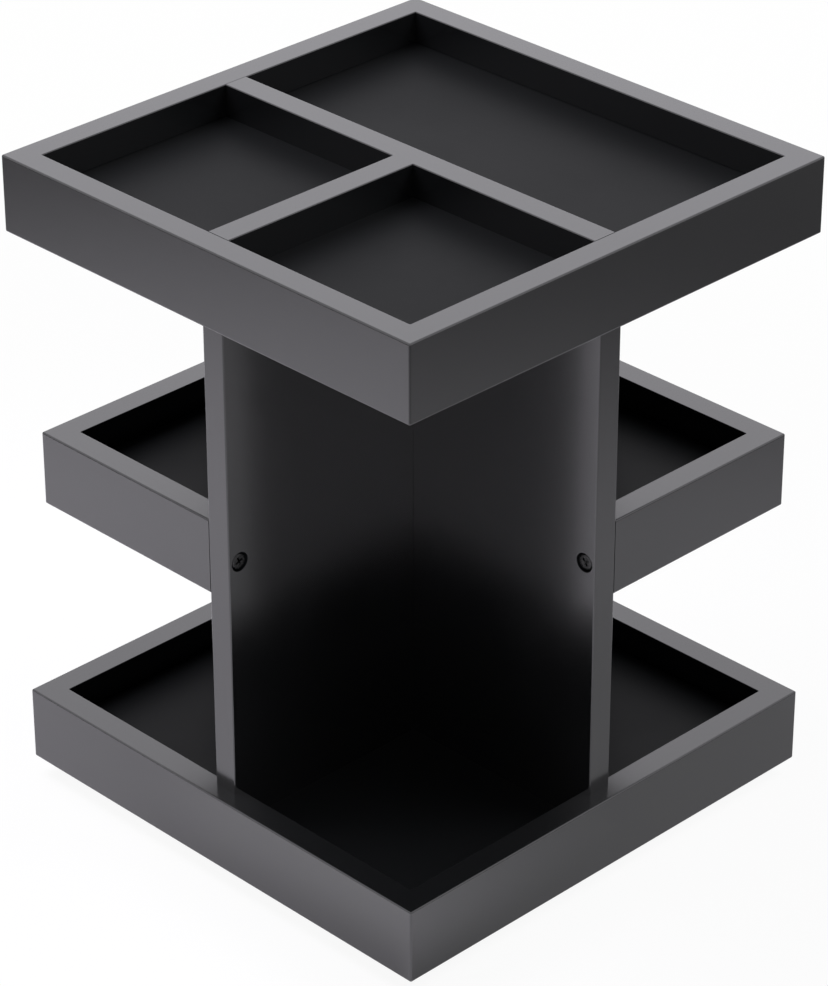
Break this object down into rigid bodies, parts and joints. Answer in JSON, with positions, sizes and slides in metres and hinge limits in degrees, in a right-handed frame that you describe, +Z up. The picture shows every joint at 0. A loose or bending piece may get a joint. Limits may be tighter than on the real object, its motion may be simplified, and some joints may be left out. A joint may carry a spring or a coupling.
{
  "type": "rotating cologne organizer",
  "caption": "Square black wooden stand that turns on a low round base, with a divided tray on top, small trays half way up, a tray at the foot and tall bays for bottles.",
  "frame": {"origin": "on the table, on the axis the stand turns about", "axes": "+Z up along the turning axis, front -Y (the side with the short divider), right +X (the side of the back right tray)"},
  "size_m": [0.24, 0.24, 0.304],
  "materials": {
    "black_wood": "satin black paint on smooth board",
    "beech": "bare beech, fluted dowels drawn plain",
    "black_screws": "black oxide",
    "zinc_steel": "zinc plated, pressed",
    "ball_steel": "polished steel balls",
    "cage_plastic": "natural nylon",
    "foot_rubber": "black rubber pads"
  },
  "bodies": {
    "base": {"base_disc": "black_wood", "foot_front_right": "foot_rubber", "foot_front_left": "foot_rubber", "foot_back_left": "foot_rubber", "foot_back_right": "foot_rubber", "bearing_lower_plate": "zinc_steel", "lower_plate_screws": "zinc_steel"},
    "ball_ring": {"ball_cage": "cage_plastic", "bearing_balls": "ball_steel"},
    "carousel": {"bottom_front_wall": "black_wood", "bottom_back_wall": "black_wood", "bottom_left_wall": "black_wood", "bottom_right_wall": "black_wood", "bottom_floor": "black_wood", "front_to_back_panel": "black_wood", "side_to_side_panel": "black_wood", "top_front_wall": "black_wood", "top_back_wall": "black_wood", "top_left_wall": "black_wood", "top_right_wall": "black_wood", "top_floor": "black_wood", "long_divider": "black_wood", "short_divider": "black_wood", "front_left_tray_left_wall": "black_wood", "front_left_tray_front_wall": "black_wood", "front_left_tray_floor": "black_wood", "back_right_tray_right_wall": "black_wood", "back_right_tray_back_wall": "black_wood", "back_right_tray_floor": "black_wood", "bottom_corner_dowels": "beech", "top_corner_dowels": "beech", "top_tray_dowels": "beech", "front_left_tray_dowels": "beech", "back_right_tray_dowels": "beech", "tray_wall_screws": "black_screws", "panel_foot_screws": "black_screws", "bearing_upper_plate": "zinc_steel", "upper_plate_screws": "zinc_steel"}
  },
  "joints": [
    {"name": "carousel_spin", "type": "hinge", "parent": "base", "child": "carousel", "pos_m": [0, 0, 0], "axis": [0, 0, 1], "continuous": true},
    {"name": "cage_spin", "type": "hinge", "parent": "base", "child": "ball_ring", "pos_m": [0, 0, 0], "axis": [0, 0, 1], "continuous": true}
  ],
  "couplings": [
    {"joint": "cage_spin", "follows": "carousel_spin", "ratio": 0.5}
  ]
}
